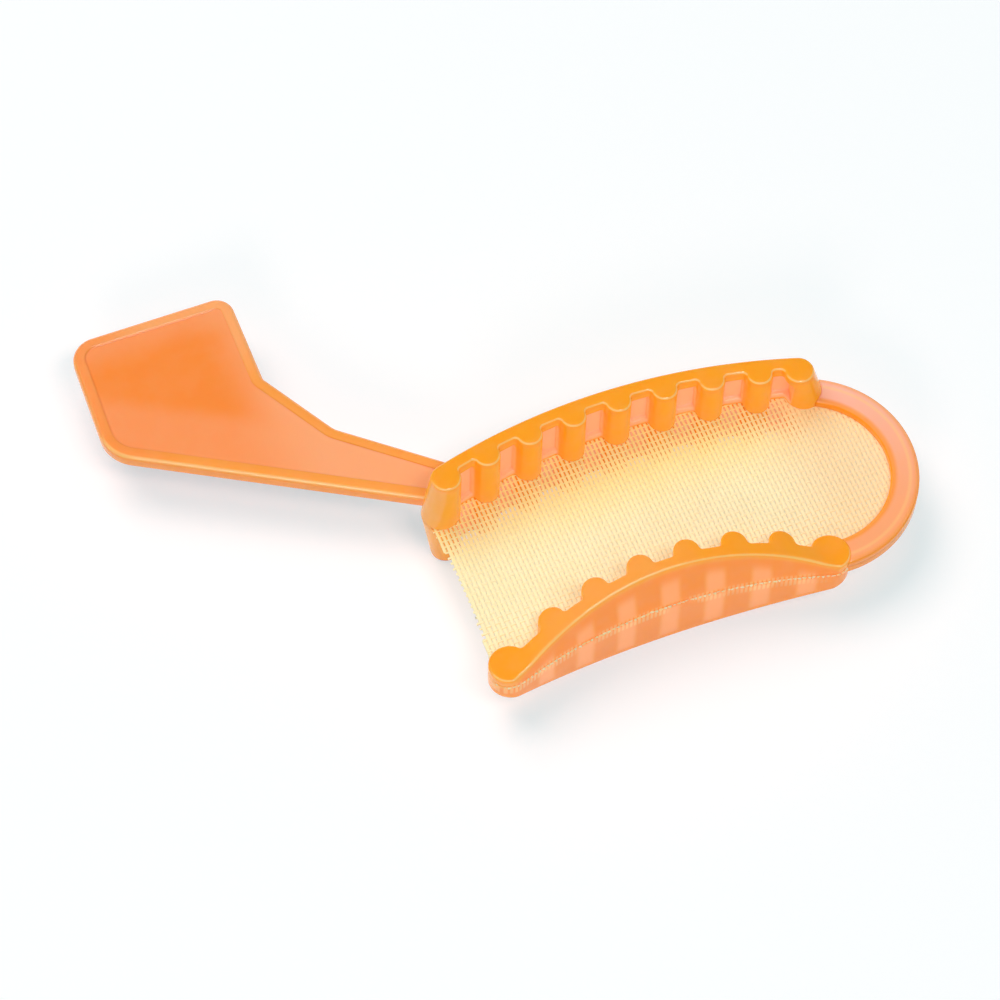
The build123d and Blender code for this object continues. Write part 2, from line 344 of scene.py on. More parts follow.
@dataclass(frozen=True)
class WallPattern:
    """Where a ribbed wall is thick and thin, for its colour. Sizes are in mm.

    Attributes:
        centre: The middle of the arc that the ribs stand on.
        radius: That arc's radius.
        ribs: How many ribs there are.
        top: The top's level at the middle.
        foot: The foot's level at the middle.
        face: The colour of the upright faces.
        middle: Where the middle is along the arch.
        top_slope: How much the top falls for each mm along the arch.
        top_curve: The radius that the top falls away on, to both ends.
        foot_curve: The radius that the foot rises on.
        blur: How soft the panels' edges are.
        pinkness: How strongly the panels between the ribs take that painted pink light.
        outer: How strongly they take it on the cheek side.
        glow: How much more painted glow the upright faces get, which lifts their shade.
        panel_light: How much more painted glow the panels get, for light shining through them.
        pitch: From one rib to the next.
        panel: A panel's width.
        lip: How far a panel stays from the wall's top and foot.
        mesh_level: The level of the mesh in the wall.
        strands: How clearly the mesh's buried ends show on the tongue side.
        strand_drop: How far under the mesh those ends are.
        strand_fade: How far from there they end and begin to fade.
        strand_patch: The size of the patches that show them.
        thread: From one strand to the next.
        paling: How much the top pales towards the open end.
    """

    centre: tuple[float, float]
    radius: float
    ribs: int
    top: float
    foot: float
    face: Colour
    middle: float = 0.0
    top_slope: float = 0.0
    top_curve: float = 1e4
    foot_curve: float = 1e4
    blur: float = 0.15
    pinkness: float = 1.0
    outer: float = 0.4
    glow: float = 0.04
    panel_light: float = 0.12
    pitch: float = 6.0
    panel: float = 2.3
    lip: float = 1.5
    mesh_level: float = 7.9
    strands: float = 0.0
    strand_drop: float = 0.5
    strand_fade: Span = (1.3, 0.8)
    strand_patch: float = 5.0
    thread: float = 0.575
    paling: float = 0.0

    @property
    def panel_edge(self) -> float:
        """How far a panel's edge is from the nearest rib's middle."""
        return (self.pitch - self.panel) / 2


class WallMasks:
    """Where a ribbed wall's features show, each as a value from 0 to 1.

    The spans are where a feature begins and is full: shares of the normal's part for the ways
    that a face can point, shares of the pitch for the end ribs, and else mm.
    """

    UPRIGHT: Span = (0.8, 0.5)
    TOPSIDE: Span = (0.5, 0.8)
    ROUNDED: Span = (0.45, 0.7)
    LEVEL: Span = (0.97, 0.85)
    TONGUE_SIDE: Span = (0.1, -0.3)
    OUTWARD: Span = (0.4, 0.0)
    STRAND_SIDE: Span = (-0.1, -0.4)
    PAST_END_RIB: Span = (0.2, 0.35)
    OFF_MESH: Span = (0.15, 0.8)
    CREST_REACH: Span = (0.9, 0.5)
    OPEN_HALF: Span = (6.0, -6.0)
    OFF_LOBE: Span = (-22.0, -14.0)

    def __init__(self, shader: Shader, pattern: WallPattern) -> None:
        """Works out where each point is on the wall.

        Args:
            shader: The wall's material so far.
            pattern: Where the wall is thick and thin.
        """
        self.shader = shader
        self.pattern = pattern
        self.spot, self.x, y, self.z = shader.place()
        turn = (self.x - pattern.centre[0]).math("ARCTAN2", y - pattern.centre[1])
        self.step = turn * (pattern.radius / pattern.pitch) + (pattern.ribs - 1) / 2
        self.off_rib = (self.step - self.step.math("ROUND")).math("ABSOLUTE") * pattern.pitch
        off_middle = self.x - pattern.middle
        square = off_middle * off_middle * 0.5
        top = off_middle * -pattern.top_slope + pattern.top - square / pattern.top_curve
        self.under_top = top - self.z
        self.over_foot = self.z - (square / pattern.foot_curve + pattern.foot)
        _, self.cheekward, self.up = shader.split(shader.add("TexCoord").outputs["Normal"])
        self.upright = self.up.rise(*self.UPRIGHT)

    def panel_zone(self) -> Value:
        """Between the end ribs and under the thick lip."""
        first, full = self.PAST_END_RIB
        last = self.pattern.ribs - 1
        between = self.step.rise(first, full) * self.step.rise(last - first, last - full)
        lip = self.pattern.lip
        return between * self.under_top.rise(lip - 0.2, lip + 0.3 + 4 * self.pattern.blur)

    def panels(self) -> Value:
        """The thin panels between the ribs, clear of the foot and the mesh."""
        pattern = self.pattern
        edge = pattern.panel_edge
        across = self.off_rib.rise(edge - 0.1 - pattern.blur, edge + pattern.blur)
        off_foot = self.over_foot.rise(pattern.lip * 0.4, pattern.lip)
        off_mesh = (self.z - pattern.mesh_level).math("ABSOLUTE").rise(*self.OFF_MESH)
        return self.panel_zone() * across * off_foot * off_mesh

    def panel_strength(self) -> Value:
        """How strongly a panel takes the painted pink light, by the side that it faces."""
        pattern = self.pattern
        inner = self.cheekward.rise(*self.OUTWARD) * (pattern.pinkness - pattern.outer)
        return inner + pattern.outer

    def panel_lines(self) -> Value:
        """The deeper lines along the panels' sides."""
        edge = self.pattern.panel_edge
        line = self.off_rib.rise(edge - 0.5, edge - 0.1) * self.off_rib.rise(edge + 0.3, edge)
        return self.panel_zone() * line

    def crest_highlight(self) -> Value:
        """Where a painted highlight goes: the rounded edge of the top, towards the tongue."""
        rounded = self.up.rise(*self.ROUNDED) * self.up.rise(*self.LEVEL)
        tongue_side = self.cheekward.rise(*self.TONGUE_SIDE)
        return rounded * tongue_side * self.under_top.rise(*self.CREST_REACH)

    def paling(self) -> Value:
        """The top in the wall's open half, up to the end lobe."""
        half = self.x.rise(*self.OPEN_HALF) * self.x.rise(*self.OFF_LOBE)
        return half * self.up.rise(*self.TOPSIDE)

    def strands(self) -> Value:
        """The mesh's buried ends, in patches."""
        pattern = self.pattern
        count = self.step * (pattern.pitch / pattern.thread)
        strand = (count - count.math("ROUND")).math("ABSOLUTE").rise(0.4, 0.2)
        level = pattern.mesh_level - pattern.strand_drop
        band = (self.z - level).math("ABSOLUTE").rise(*pattern.strand_fade)
        patch = self.shader.noise(self.spot, pattern.strand_patch, 1.0).rise(0.4, 0.52)
        return strand * band * patch * self.cheekward.rise(*self.STRAND_SIDE)


@dataclass(frozen=True)
class GauzeThread:
    """Pale cream thread with a soft sheen.

    Attributes:
        pale: The threads' main colour.
        warm: The deeper cream of fibres and patches.
        tan: The painted orange light that the cheek-side wall throws up through the threads
            beside it.
        blush: The painted tint that the bar and walls cast on the threads at the closed end.
        cut: The colour of the cut ends in the tongue-side wall.
        fibre_size: The fibres' size in mm.
        patch_size: The size of the deeper patches in mm.
        far_side: Where the tan begins and is full, across the arch, in mm.
        closed_end: Where the blush begins and is full, along the arch, in mm.
        near_side: Where the cut ends' colour begins and is full, across the arch, in mm.
        roughness: How dull the thread is.
        clouding: How much of the light goes into it.
        depth: How far it goes, in mm.
        spread: How far red, green and blue go, as shares of the depth.
        inner_light: The strength of a painted glow, which lifts the threads' shade.
        sheen: How strong its sheen is.
    """

    pale: Colour = display(246, 234, 192)
    warm: Colour = display(245, 228, 175)
    tan: Colour = display(249, 214, 122)
    blush: Colour = display(246, 208, 160)
    cut: Colour = display(255, 204, 128)
    fibre_size: float = 0.12
    patch_size: float = 5.0
    far_side: Span = (-14.0, -3.0)
    closed_end: Span = (12.0, 24.0)
    near_side: Span = (-17.5, -19.5)
    roughness: float = 0.6
    clouding: float = 0.4
    depth: float = 0.3
    spread: tuple[float, float, float] = (1.0, 0.9, 0.7)
    inner_light: float = 0.2
    sheen: float = 0.2

    def build(self, name: str) -> bpy.types.Material:
        """Makes the material.

        Args:
            name: The material's name.

        Returns:
            The material.
        """
        shader = Shader(name)
        spot, x, y, _ = shader.place()
        fibre = shader.noise(spot, self.fibre_size, 3.0)
        patch = shader.noise(spot, self.patch_size, 2.0)
        colour = shader.mix(fibre.rise(0.3, 0.8) * 0.5, self.pale, self.warm)
        colour = shader.mix(patch.rise(0.35, 0.7) * 0.3, colour, self.warm)
        # Painted light: the orange of the cheek-side wall, cast up through the threads beside
        # it.
        colour = shader.mix(y.rise(*self.far_side) * 0.7, colour, self.tan)
        # Painted tint that the bar and walls cast on the threads at the closed end.
        colour = shader.mix(x.rise(*self.closed_end) * 0.7, colour, self.blush)
        _, cheekward, _ = shader.split(shader.add("TexCoord").outputs["Normal"])
        cut = cheekward.rise(-0.5, -0.8) * y.rise(*self.near_side)
        colour = shader.mix(cut * 0.9, colour, self.cut)
        bump = shader.add(
            "Bump", {"Strength": 0.4, "Distance": 0.03 * MM, "Height": fibre}
        ).outputs[0]
        skin = shader.add(
            "BsdfPrincipled",
            {
                "Base Color": colour,
                "Roughness": self.roughness,
                "Subsurface Weight": self.clouding,
                "Subsurface Radius": self.spread,
                "Subsurface Scale": self.depth * MM,
                # The emission is a painted glow that lifts the shade between the threads.
                "Emission Color": colour,
                "Emission Strength": self.inner_light,
                "Sheen Weight": self.sheen,
                "Sheen Roughness": 0.5,
                "Normal": bump,
            },
        )
        return shader.finish(skin)


@dataclass
class TrayFrame:
    """The moulded frame: two ribbed walls, the bar behind the last tooth and the handle.

    Attributes:
        plastic: The plastic that it is moulded in.
        paddle_shade: The painted shade in the paddle's middle, over the floor that it shades.
        paddle_lit_pink: The pink round that shade, painted light from the lit floor shining up
            through the plate.
        border: The handle's border at its low end.
        border_pale: The border at its high end.
        border_left: The border at the handle's far end.
        bar_pink: The bar's pink beside the cheek-side wall, which paints light shining through
            it.
        recess_level: From the handle's middle to its recessed faces, in mm.
        bar_centre: The centre of the bar's half ring, in mm.
        bar_radius: The half ring's outer radius in mm.
        bar_width: Its width in mm.
        bar_brim: How far inside the outer edge its amber begins and is full, in mm.
        bar_ring: How far outside the inner edge its amber begins and is full, in mm.
        bar_glint: How far inside the outer edge the painted highlight line is, in mm.
        glint_fade: How far from its middle that line ends and begins to fade, in mm.
        bar_fade: Where the bar's pink begins and is full, across the arch, in mm.
        keel_angle: How far the handle's long edge turns from the arch.
        shade_keel: How far over the long edge's low end the painted shade begins and is full, in
            mm.
        shade_tip: How far under the handle's highest point it begins and is full, in mm.
        shade_neck: How far along the arch it begins and is full, in mm.
        shank_fade: How far along the arch the shank's painted pink light begins and is full, in
            mm.
        border_fade: How far under the highest point the border's two colours meet, in mm.
        left_fade: How far along the arch the end's border begins and is full, in mm.
    """

    plastic: MouldedPlastic = MouldedPlastic()
    paddle_shade: Colour = display(243, 139, 56)
    paddle_lit_pink: Colour = display(245, 150, 88)
    border: Colour = display(246, 157, 58)
    border_pale: Colour = display(250, 170, 104)
    border_left: Colour = display(243, 142, 66)
    bar_pink: Colour = display(248, 186, 162)
    recess_level: float = 1.02
    bar_centre: tuple[float, float] = (19.7, -13.95)
    bar_radius: float = 13.5
    bar_width: float = 3.5
    bar_brim: Span = (0.8, 0.3)
    bar_ring: Span = (1.0, 0.4)
    bar_glint: float = 1.15
    glint_fade: Span = (0.35, 0.05)
    bar_fade: Span = (-12.0, 12.0)
    keel_angle: float = math.radians(30.0)
    shade_keel: Span = (3.0, 7.0)
    shade_tip: Span = (1.5, 6.0)
    shade_neck: Span = (22.0, 15.0)
    shank_fade: Span = (14.0, 26.0)
    border_fade: Span = (16.0, 6.0)
    left_fade: Span = (10.0, 3.0)

    def wall(self, name: str, pattern: WallPattern) -> bpy.types.Material:
        """Makes a wall's finish, with thin panels between its ribs.

        Args:
            name: The material's name.
            pattern: Where the wall is thin.

        Returns:
            The material.
        """
        plastic = self.plastic
        shader = Shader(name)
        masks = WallMasks(shader, pattern)
        panels = masks.panels()
        colour = shader.mix(masks.upright, plastic.body, pattern.face)
        colour = shader.mix(masks.under_top.rise(1.1, 0.4), colour, plastic.rim)
        colour = shader.mix(masks.panel_lines() * 0.6, colour, plastic.deep)
        colour = shader.mix(masks.paling() * pattern.paling, colour, plastic.thin)
        # Painted light: the thin panels are pink where light from behind shines through them.
        colour = shader.mix(panels * masks.panel_strength(), colour, plastic.panel)
        if pattern.strands:
            colour = shader.mix(masks.strands() * pattern.strands, colour, plastic.highlight_and_strand)
        colour = shader.mix(masks.over_foot.rise(0.9, 0.3), colour, plastic.deep)
        # Painted highlight on the rounded top edge.
        colour = shader.mix(masks.crest_highlight() * 0.7, colour, plastic.highlight_and_strand)
        # Painted glow: extra emission on the panels and on the upright faces.
        light = panels * pattern.panel_light + masks.upright * pattern.glow
        return plastic.surface(shader, masks.spot, colour, light + plastic.inner_light)

    def bar(self, name: str) -> bpy.types.Material:
        """Makes the bar's finish: a pink flat face with amber edges and sides.

        Args:
            name: The material's name.

        Returns:
            Makes the bar's finish: a flat face in painted pink light, with amber edges and
            sides.
        """
        plastic = self.plastic
        shader = Shader(name)
        spot, x, y, _ = shader.place()
        _, _, up = shader.split(shader.add("TexCoord").outputs["Normal"])
        over, out = y - self.bar_centre[1], x - self.bar_centre[0]
        reach = (over * over + out * out).math("SQRT")
        outer, inner = self.bar_radius, self.bar_radius - self.bar_width
        brim = reach.rise(outer - self.bar_brim[0], outer - self.bar_brim[1])
        ring = reach.rise(inner + self.bar_ring[0], inner + self.bar_ring[1])
        halo = reach - (outer - self.bar_glint)
        halo = halo.math("ABSOLUTE").rise(*self.glint_fade)
        # Painted light: the flat face is pink where light shines through the thin bar.
        colour = shader.mix(over.rise(*self.bar_fade), plastic.thin, self.bar_pink)
        # Painted highlight: a pale line along the outer edge.
        colour = shader.mix(halo * 0.35, colour, plastic.highlight_and_strand)
        colour = shader.mix((ring * 0.8).math("MAXIMUM", brim * 0.45), colour, plastic.body)
        colour = shader.mix(up.math("ABSOLUTE").rise(0.95, 0.6), colour, plastic.deep)
        return plastic.surface(shader, spot, colour)

    def handle(self, name: str) -> bpy.types.Material:
        """Makes the handle's finish: amber border, pink shank and a darker paddle middle, as
        painted light and shade.

        Args:
            name: The material's name.

        Returns:
            The material.
        """
        plastic = self.plastic
        low, high = (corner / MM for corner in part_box("handle"))
        shader = Shader(name)
        spot, x, y, z = shader.place()
        middle = (low.z + high.z) / 2
        thickness = (z - middle).math("ABSOLUTE")
        border = thickness.rise(self.recess_level, self.recess_level + 0.05)
        _, cheekward, up = shader.split(shader.add("TexCoord").outputs["Normal"])
        side = up.math("ABSOLUTE").rise(0.9, 0.5)
        crest_highlight = up.rise(0.3, 0.6) * up.rise(0.97, 0.85) * cheekward.rise(0.1, -0.2)
        keel = y + (x - high.x) * math.tan(self.keel_angle)
        past_end, under_tip = x - low.x, high.y - y
        paddle_shade = (keel - low.y).rise(*self.shade_keel) * under_tip.rise(*self.shade_tip)
        paddle_shade = paddle_shade * past_end.rise(*self.shade_neck)
        # Painted light: the paddle and shank are pink where light from the lit floor shines up
        # through the plate.
        colour = shader.mix(past_end.rise(*self.shank_fade), self.paddle_lit_pink, plastic.thin)
        # Painted shade: the paddle's middle is darker over the floor that it shades.
        colour = shader.mix(paddle_shade, colour, self.paddle_shade)
        edge = shader.mix(under_tip.rise(*self.border_fade), self.border, self.border_pale)
        edge = shader.mix(past_end.rise(*self.left_fade) * 0.7, edge, self.border_left)
        colour = shader.mix(border * 0.85, colour, edge)
        colour = shader.mix(side, colour, plastic.body)
        # Painted highlight along the long edge's rounding.
        colour = shader.mix(crest_highlight * 0.6, colour, plastic.highlight_and_strand)
        return plastic.surface(shader, spot, colour)

    def dress(self) -> None:
        """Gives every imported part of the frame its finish."""
        buccal = WallPattern(
            centre=(0.0, -81.8),
            radius=81.8,
            ribs=9,
            top=15.9,
            foot=0.0,
            face=display(248, 166, 18),
            top_slope=0.055,
        )
        lingual = WallPattern(
            centre=(-2.85, -88.3),
            radius=66.9,
            ribs=8,
            top=14.475,
            foot=0.0,
            face=display(251, 142, 10),
            middle=-2.85,
            top_curve=41.7,
            foot_curve=49.0,
            blur=0.4,
            pinkness=0.42,
            glow=0.08,
            strands=0.5,
            paling=0.28,
        )
        finishes = {
            "buccal": self.wall("buccal_plastic", buccal),
            "lingual": self.wall("lingual_plastic", lingual),
            "handle": self.handle("handle_plastic"),
            "retromolar": self.bar("bar_plastic"),
        }
        for name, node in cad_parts.items():
            finish = finishes.get(name.split("_")[0])
            if finish is None:
                continue
            node.data.materials.clear()
            node.data.materials.append(finish)
            LOG.info("%s is dressed in %s", name, finish.name)


class Lay(Enum):
    """Which way a set of threads runs."""

    WARP = (0.0, 1.0, 0.0)
    WEFT = (1.0, 0.0, 0.0)


@dataclass
class ThreadSet:
    """One set of parallel threads of the weave. Sizes are in mm.

    Attributes:
        lay: Which way they run.
        pitch: From one thread to the next.
        crossing_pitch: The same for the threads that they cross.
        width: A thread's width where the weave is open.
        height: Its height.
        lead: Whether the first thread starts over, at 1, or under, at -1.
        cover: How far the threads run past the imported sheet.
        fray: How far their cut ends stand out past that, at most.
        fullness: How much wider they are where the weave is full, as a share.
    """

    lay: Lay
    pitch: float
    crossing_pitch: float
    width: float
    height: float
    lead: float
    cover: float
    fray: float
    fullness: float

    @property
    def along(self) -> Vector:
        """The direction that the threads run in."""
        return Vector(self.lay.value)

    @property
    def across(self) -> Vector:
        """The direction from one thread to the next."""
        return Vector((self.lay.value[1], self.lay.value[0], 0))


@dataclass
class BiteGauze:
    """The woven gauze between the walls, over and under, to its cut ends in the plastic.

    Attributes:
        node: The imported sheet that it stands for.
        swing: How far a thread rises and falls, in mm.
        stray_share: The share of cut ends that stray.
        stray: How far they do.
        wander: How unevenly the threads lie, in mm.
        seed: The seed of all that is random.
        full_fray: The fray in mm from which cut ends droop in full.
        level_shift: How far off the sheet's middle its outline is read, in mm.
        shortest_run: The shortest run of thread in mm.
        ray_step: How far past an edge of the sheet the next one is looked for, in mm.
        sides: How many sides a thread has.
        cheek_centre: The centre of the cheek-side wall's arc, in metres.
        full_reach: How far from there the weave is open and full, in mm.
        closed_end: Where the weave is full again along the arch, in metres.
        flat_area: The cut gauze's area in square metres.
        warp: The threads across the arch.
        weft: The threads along the arch.
    """

    node: str = "bite_mesh"
    swing: float = 0.055
    stray_share: float = 0.06
    stray: float = 0.8
    wander: float = 0.03
    seed: int = 7
    full_fray: float = 0.16
    level_shift: float = 0.013
    shortest_run: float = 0.02
    ray_step: float = 0.005
    sides: int = 6
    cheek_centre: tuple[float, float, float] = (0.0, -0.0818, 0.0079)
    full_reach: Span = (80.3, 75.8)
    closed_end: Span = (0.0185, 0.0225)
    flat_area: float = 0.001469
    warp: ThreadSet = field(
        default_factory=lambda: ThreadSet(
            lay=Lay.WARP,
            pitch=0.575,
            crossing_pitch=0.8,
            width=0.36,
            height=0.15,
            lead=1.0,
            cover=0.28,
            fray=0.1,
            fullness=0.54,
        )
    )
    weft: ThreadSet = field(
        default_factory=lambda: ThreadSet(
            lay=Lay.WEFT,
            pitch=0.8,
            crossing_pitch=0.575,
            width=0.16,
            height=0.09,
            lead=-1.0,
            cover=0.05,
            fray=0.06,
            fullness=1.2,
        )
    )

    def runs(self, tree: BVHTree, start: Vector, along: Vector, span: float) -> list[Span]:
        """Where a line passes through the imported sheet.

        Args:
            tree: The sheet's faces.
            start: The line's start, outside the sheet.
            along: Its direction.
            span: How far to look.

        Returns:
            The distances from start at which it enters and leaves, in pairs.
        """
        marks, reach = [], 0.0
        while reach < span:
            hit = tree.ray_cast(start + along * reach, along, span - reach)
            if hit[0] is None:
                break
            mark = (hit[0] - start).dot(along)
            if not marks or mark - marks[-1] > self.shortest_run * MM:
                marks.append(mark)
            reach = mark + self.ray_step * MM
        return list(zip(marks[::2], marks[1::2]))

    def guides(self, threads: ThreadSet, chance: random.Random) -> bpy.types.Object:
        """Lays one line of points for each thread, with its cut and frayed ends.

        Args:
            threads: The set to lay.
            chance: The source of the frayed ends.

        Returns:
            An object of loose edges, with each point's over or under sign.
        """
        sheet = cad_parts[self.node].data
        faces = [tuple(polygon.vertices) for polygon in sheet.polygons]
        tree = BVHTree.FromPolygons([vertex.co for vertex in sheet.vertices], faces)
        low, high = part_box(self.node)
        level = (low.z + high.z) / 2
        lift = Vector((0, 0, self.level_shift * MM))
        margin = 1 * MM
        span = (high - low).dot(threads.along) + 2 * margin
        count = round((high - low).dot(threads.across) / (threads.pitch * MM))
        step = threads.crossing_pitch * MM / 2
        points, edges, signs = [], [], []
        for index in range(count):
            offset = (index + 0.5) * threads.pitch * MM
            start = Vector((low.x, low.y, level)) + lift
            start += threads.across * offset - threads.along * margin
            for enter, leave in self.runs(tree, start, threads.along, span):
                if leave - enter < 2 * step:
                    continue
                first = math.ceil((enter - margin) / step + 0.2)
                last = math.floor((leave - margin) / step - 0.2)
                line = [enter, *(margin + n * step for n in range(first, last + 1)), leave]
                ends = [start + threads.along * mark for mark in line]
                ends = self.frayed(threads, ends, chance)
                base = len(points)
                points += ends
                edges += [(base + n, base + n + 1) for n in range(len(ends) - 1)]
                signs += [threads.lead * (-1) ** index] * len(ends)
        mesh = bpy.data.meshes.new(f"{threads.lay.name.lower()}_guides")
        mesh.from_pydata([point - lift for point in points], edges, [])
        sign = mesh.attributes.new("sign", "FLOAT", "POINT")
        sign.data.foreach_set("value", signs)
        guides = bpy.data.objects.new(mesh.name, mesh)
        bpy.context.scene.collection.objects.link(guides)
        return guides

    def frayed(
        self, threads: ThreadSet, line: list[Vector], chance: random.Random
    ) -> list[Vector]:
        """Adds a thread's cut ends, which stand a little proud of the plastic.

        Args:
            threads: The thread's set.
            line: The thread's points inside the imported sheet.
            chance: The source of the frayed ends.

        Returns:
            The points with a cut end at both ends.
        """
        ends = []
        for tip, inner in ((line[0], line[1]), (line[-1], line[-2])):
            out = (tip - inner).normalized()
            proud = chance.uniform(0.2, 1.0) * threads.fray
            droop = Vector((chance.uniform(-0.12, 0.12), 0, chance.uniform(-0.25, 0.12)))
            if chance.random() < self.stray_share:
                droop = Vector((chance.uniform(-0.3, 0.3), 0, chance.uniform(-0.6, 1.0)))
                droop *= self.stray
                proud += threads.fray
            droop *= min(1.0, threads.fray / self.full_fray)
            through = tip + out * threads.cover * MM
            ends.append([through, through + (out * proud + droop) * MM])
        return [*reversed(ends[0]), *line, *ends[1]]

    def weave_tree(self) -> bpy.types.NodeTree:
        """Builds the tree that turns guide lines into woven threads.

        Returns:
            The tree, with the threads' sizes as its inputs.
        """
        tree = bpy.data.node_groups.new("weave", "GeometryNodeTree")
        panel = tree.interface
        panel.new_socket("Geometry", in_out="OUTPUT", socket_type="NodeSocketGeometry")
        panel.new_socket("Guides", in_out="INPUT", socket_type="NodeSocketGeometry")
        sizes = ("Crossing pitch", "Width", "Height", "Swing", "Wander", "Start", "Fullness")
        for name in (*sizes, "Seed"):
            panel.new_socket(name, in_out="INPUT", socket_type="NodeSocketFloat")
        for name in ("Along", "Across"):
            panel.new_socket(name, in_out="INPUT", socket_type="NodeSocketVector")
        panel.new_socket("Finish", in_out="INPUT", socket_type="NodeSocketMaterial")
        nodes = NodeTree(tree, "GeometryNode")
        given = nodes.add("NodeGroupInput").outputs
        spot = nodes.add("InputPosition").outputs[0]
        sign = nodes.add("InputNamedAttribute", {"Name": "sign"}, data_type="FLOAT").outputs[0]
        reach = nodes.add(
            "ShaderNodeVectorMath", {0: spot, 1: given["Along"]}, operation="DOT_PRODUCT"
        ).outputs["Value"]
        phase = (Value(nodes, reach) - given["Start"]) / given["Crossing pitch"] * math.pi
        wave = phase.math("COSINE") * sign * given["Swing"]
        lift = nodes.add("ShaderNodeCombineXYZ", {2: wave}).outputs[0]
        noise = nodes.add(
            "ShaderNodeTexNoise",
            {"Vector": spot, "W": given["Seed"], "Scale": 180.0, "Detail": 1.0},
            noise_dimensions="4D",
        ).outputs[0]
        drift = (Value(nodes, noise) - 0.5) * given["Wander"]
        shift = nodes.add(
            "ShaderNodeVectorMath", {0: given["Across"], "Scale": drift}, operation="SCALE"
        ).outputs[0]
        offset = nodes.add(
            "ShaderNodeVectorMath", {0: lift, 1: shift}, operation="ADD"
        ).outputs[0]
        centre = nodes.add(
            "ShaderNodeVectorMath", {0: spot, 1: self.cheek_centre}, operation="SUBTRACT"
        ).outputs[0]
        reach = nodes.add(
            "ShaderNodeVectorMath", {0: centre}, operation="LENGTH"
        ).outputs["Value"]
        spread = Value(nodes, reach).rise(self.full_reach[0] * MM, self.full_reach[1] * MM)
        spread = spread.math("MAXIMUM", nodes.split(spot)[0].rise(*self.closed_end))
        spread = spread * given["Fullness"] + 1.0
        lines = nodes.add("MeshToCurve", {0: given["Guides"]}).outputs[0]
        moved = nodes.add("SetPosition", {"Geometry": lines, "Offset": offset}).outputs[0]
        upright = nodes.add("SetCurveNormal", {"Curve": moved}, mode="Z_UP").outputs[0]
        circle = {"Resolution": self.sides, "Radius": 0.5}
        ring = nodes.add("CurvePrimitiveCircle", circle).outputs[0]
        size = nodes.add("ShaderNodeCombineXYZ", {0: given["Width"], 1: given["Height"], 2: 1.0})
        section = nodes.add("Transform", {"Geometry": ring, "Scale": size.outputs[0]}).outputs[0]
        swept = nodes.add(
            "CurveToMesh",
            {"Curve": upright, "Profile Curve": section, "Scale": spread, "Fill Caps": True},
        ).outputs[0]
        smooth = nodes.add("SetShadeSmooth", {"Geometry": swept}).outputs[0]
        plain = nodes.add("RealizeInstances", {"Geometry": smooth}).outputs[0]
        dressed = nodes.add(
            "SetMaterial", {"Geometry": plain, "Material": given["Finish"]}
        ).outputs[0]
        nodes.add("NodeGroupOutput", {0: dressed})
        return tree

    def woven(
        self, threads: ThreadSet, tree: bpy.types.NodeTree, finish: bpy.types.Material
    ) -> bpy.types.Mesh:
        """Weaves one set of threads.

        Args:
            threads: The set.
            tree: The weaving tree.
            finish: The threads' material.

        Returns:
            A plain mesh of the threads.
        """
        guides = self.guides(threads, random.Random(self.seed + threads.lead))
        low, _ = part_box(self.node)
        values = {
            "Crossing pitch": threads.crossing_pitch * MM,
            "Width": threads.width * MM,
            "Height": threads.height * MM,
            "Swing": self.swing * MM,
            "Wander": self.wander * MM,
            "Seed": float(self.seed),
            "Fullness": threads.fullness,
            "Start": low.dot(threads.along) + threads.crossing_pitch * MM / 2,
            "Along": threads.along,
            "Across": threads.across,
            "Finish": finish,
        }
        weaver = guides.modifiers.new("weave", "NODES")
        weaver.node_group = tree
        for item in tree.interface.items_tree:
            if item.in_out == "INPUT" and item.name in values:
                weaver[item.identifier] = values[item.name]
        graph = bpy.context.evaluated_depsgraph_get()
        mesh = bpy.data.meshes.new_from_object(guides.evaluated_get(graph), depsgraph=graph)
        bpy.data.objects.remove(guides)
        return mesh

    def build(self) -> bpy.types.Object:
        """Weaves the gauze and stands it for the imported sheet.

        Returns:
            The gauze.
        """
        finish = GauzeThread().build("gauze_thread")
        tree = self.weave_tree()
        pieces = []
        for threads in (self.warp, self.weft):
            mesh = self.woven(threads, tree, finish)
            piece = bpy.data.objects.new("bite_gauze", mesh)
            bpy.context.scene.collection.objects.link(piece)
            pieces.append(piece)
            LOG.info("%s threads have %d faces", threads.lay.name, len(mesh.polygons))
        with bpy.context.temp_override(
            active_object=pieces[0], selected_editable_objects=pieces
        ):
            bpy.ops.object.join()
        gauze = pieces[0]
        gauze.name = "bite_gauze"
        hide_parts(self.node)
        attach(gauze, "root")
        return gauze


@dataclass(frozen=True)
class Softbox:
    """A soft lamp a metre away that points at the tray.

    Attributes:
        name: The lamp's name.
        direction: Where it stands, seen from the tray.
        size: Its width and height in metres.
        power: Its power in watts.
        shines: Whether the plastic's gloss shows it.
    """

    name: str
    direction: tuple[float, float, float]
    size: Span
    power: float
    shines: bool = True

    def build(self, target: Vector) -> None:
        """Adds the lamp.

        Args:
            target: The point that it points at.
        """
        light = bpy.data.lights.new(self.name, "AREA")
        light.shape = "RECTANGLE"
        light.size, light.size_y = self.size
        light.energy = self.power
        lamp = bpy.data.objects.new(self.name, light)
        lamp.visible_glossy = self.shines
        toward = Vector(self.direction).normalized()
        lamp.location = target + toward
        lamp.rotation_euler = toward.to_track_quat("Z", "Y").to_euler()
        bpy.context.scene.collection.objects.link(lamp)


